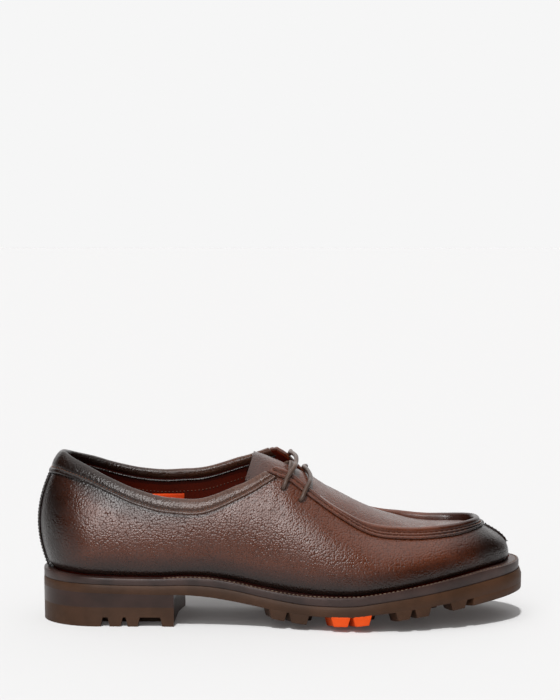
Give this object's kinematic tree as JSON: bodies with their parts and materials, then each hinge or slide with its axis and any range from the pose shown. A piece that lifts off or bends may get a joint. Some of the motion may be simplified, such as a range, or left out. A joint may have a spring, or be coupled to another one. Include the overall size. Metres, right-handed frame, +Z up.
{
  "type": "apron toe derby",
  "caption": "Brown pebbled leather apron toe derby, open laced, with a raised split toe seam, a stitched leather welt and a rubber lug sole with orange blocks at the ball.",
  "frame": {"origin": "on the floor, under the middle of the shoe's bounding box", "axes": "+X from heel to toe, +Y to the inner (medial) side of this right shoe, +Z up"},
  "size_m": [0.3052, 0.1056, 0.1064],
  "materials": {
    "upper_leather": "pebbled, burnished, polished to a soft sheen",
    "dark_leather": "smooth, dark, polished",
    "welt_leather": "smooth, dark stained, waxed",
    "heel_leather": "stacked, stained, polished",
    "lining_leather": "unpolished, matt",
    "sole_rubber": "matt, moulded",
    "orange_rubber": "matt, moulded",
    "lace_cord": "round woven cord, waxed"
  },
  "bodies": {
    "root": {"upper": "upper_leather", "tongue": "upper_leather", "insole": "lining_leather", "outsole": "sole_rubber", "welt": "welt_leather", "heel_stack": "heel_leather", "heel_top_lift": "sole_rubber", "tread_block_ball_back_lateral": "orange_rubber", "tread_block_ball_back_medial": "orange_rubber", "tread_block_ball_front_lateral": "orange_rubber", "tread_block_ball_front_medial": "orange_rubber", "collar_band": "dark_leather", "seam_strip": "upper_leather", "back_stay": "dark_leather", "laces": "lace_cord"}
  },
  "joints": []
}
